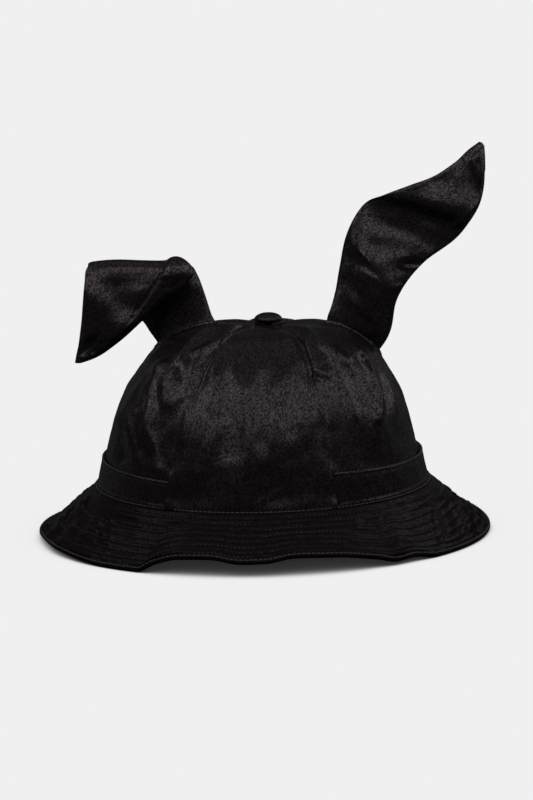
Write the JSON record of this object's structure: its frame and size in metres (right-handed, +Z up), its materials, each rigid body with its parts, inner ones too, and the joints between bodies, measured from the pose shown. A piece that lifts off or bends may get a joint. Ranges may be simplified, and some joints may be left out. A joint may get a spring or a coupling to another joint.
{
  "type": "satin bucket hat with rabbit ears",
  "caption": "Round gored bucket hat with a stitched flared brim, a narrow band, a covered top button and rabbit ears, the left folded over and the right standing.",
  "frame": {"origin": "on the floor, under the middle of the hat", "axes": "+Z up, the front gore faces -Y, the folded ear is at -X and the standing ear at +X"},
  "size_m": [0.2576, 0.2666, 0.2194],
  "materials": {
    "crown_satin": "black satin, soft sheen, gathered at the seams",
    "band_satin": "black satin, edge-stitched fold",
    "brim_satin": "black satin, rows of stitching round it",
    "button_satin": "black satin stretched over a button",
    "ear_satin": "black satin, two layers sewn at the edge"
  },
  "bodies": {
    "root": {"crown_front": "crown_satin", "crown_front_left": "crown_satin", "crown_front_right": "crown_satin", "crown_back_left": "crown_satin", "crown_back_right": "crown_satin", "crown_back": "crown_satin", "band": "band_satin", "brim": "brim_satin", "button": "button_satin", "ear_left": "ear_satin", "ear_right": "ear_satin"}
  },
  "joints": []
}
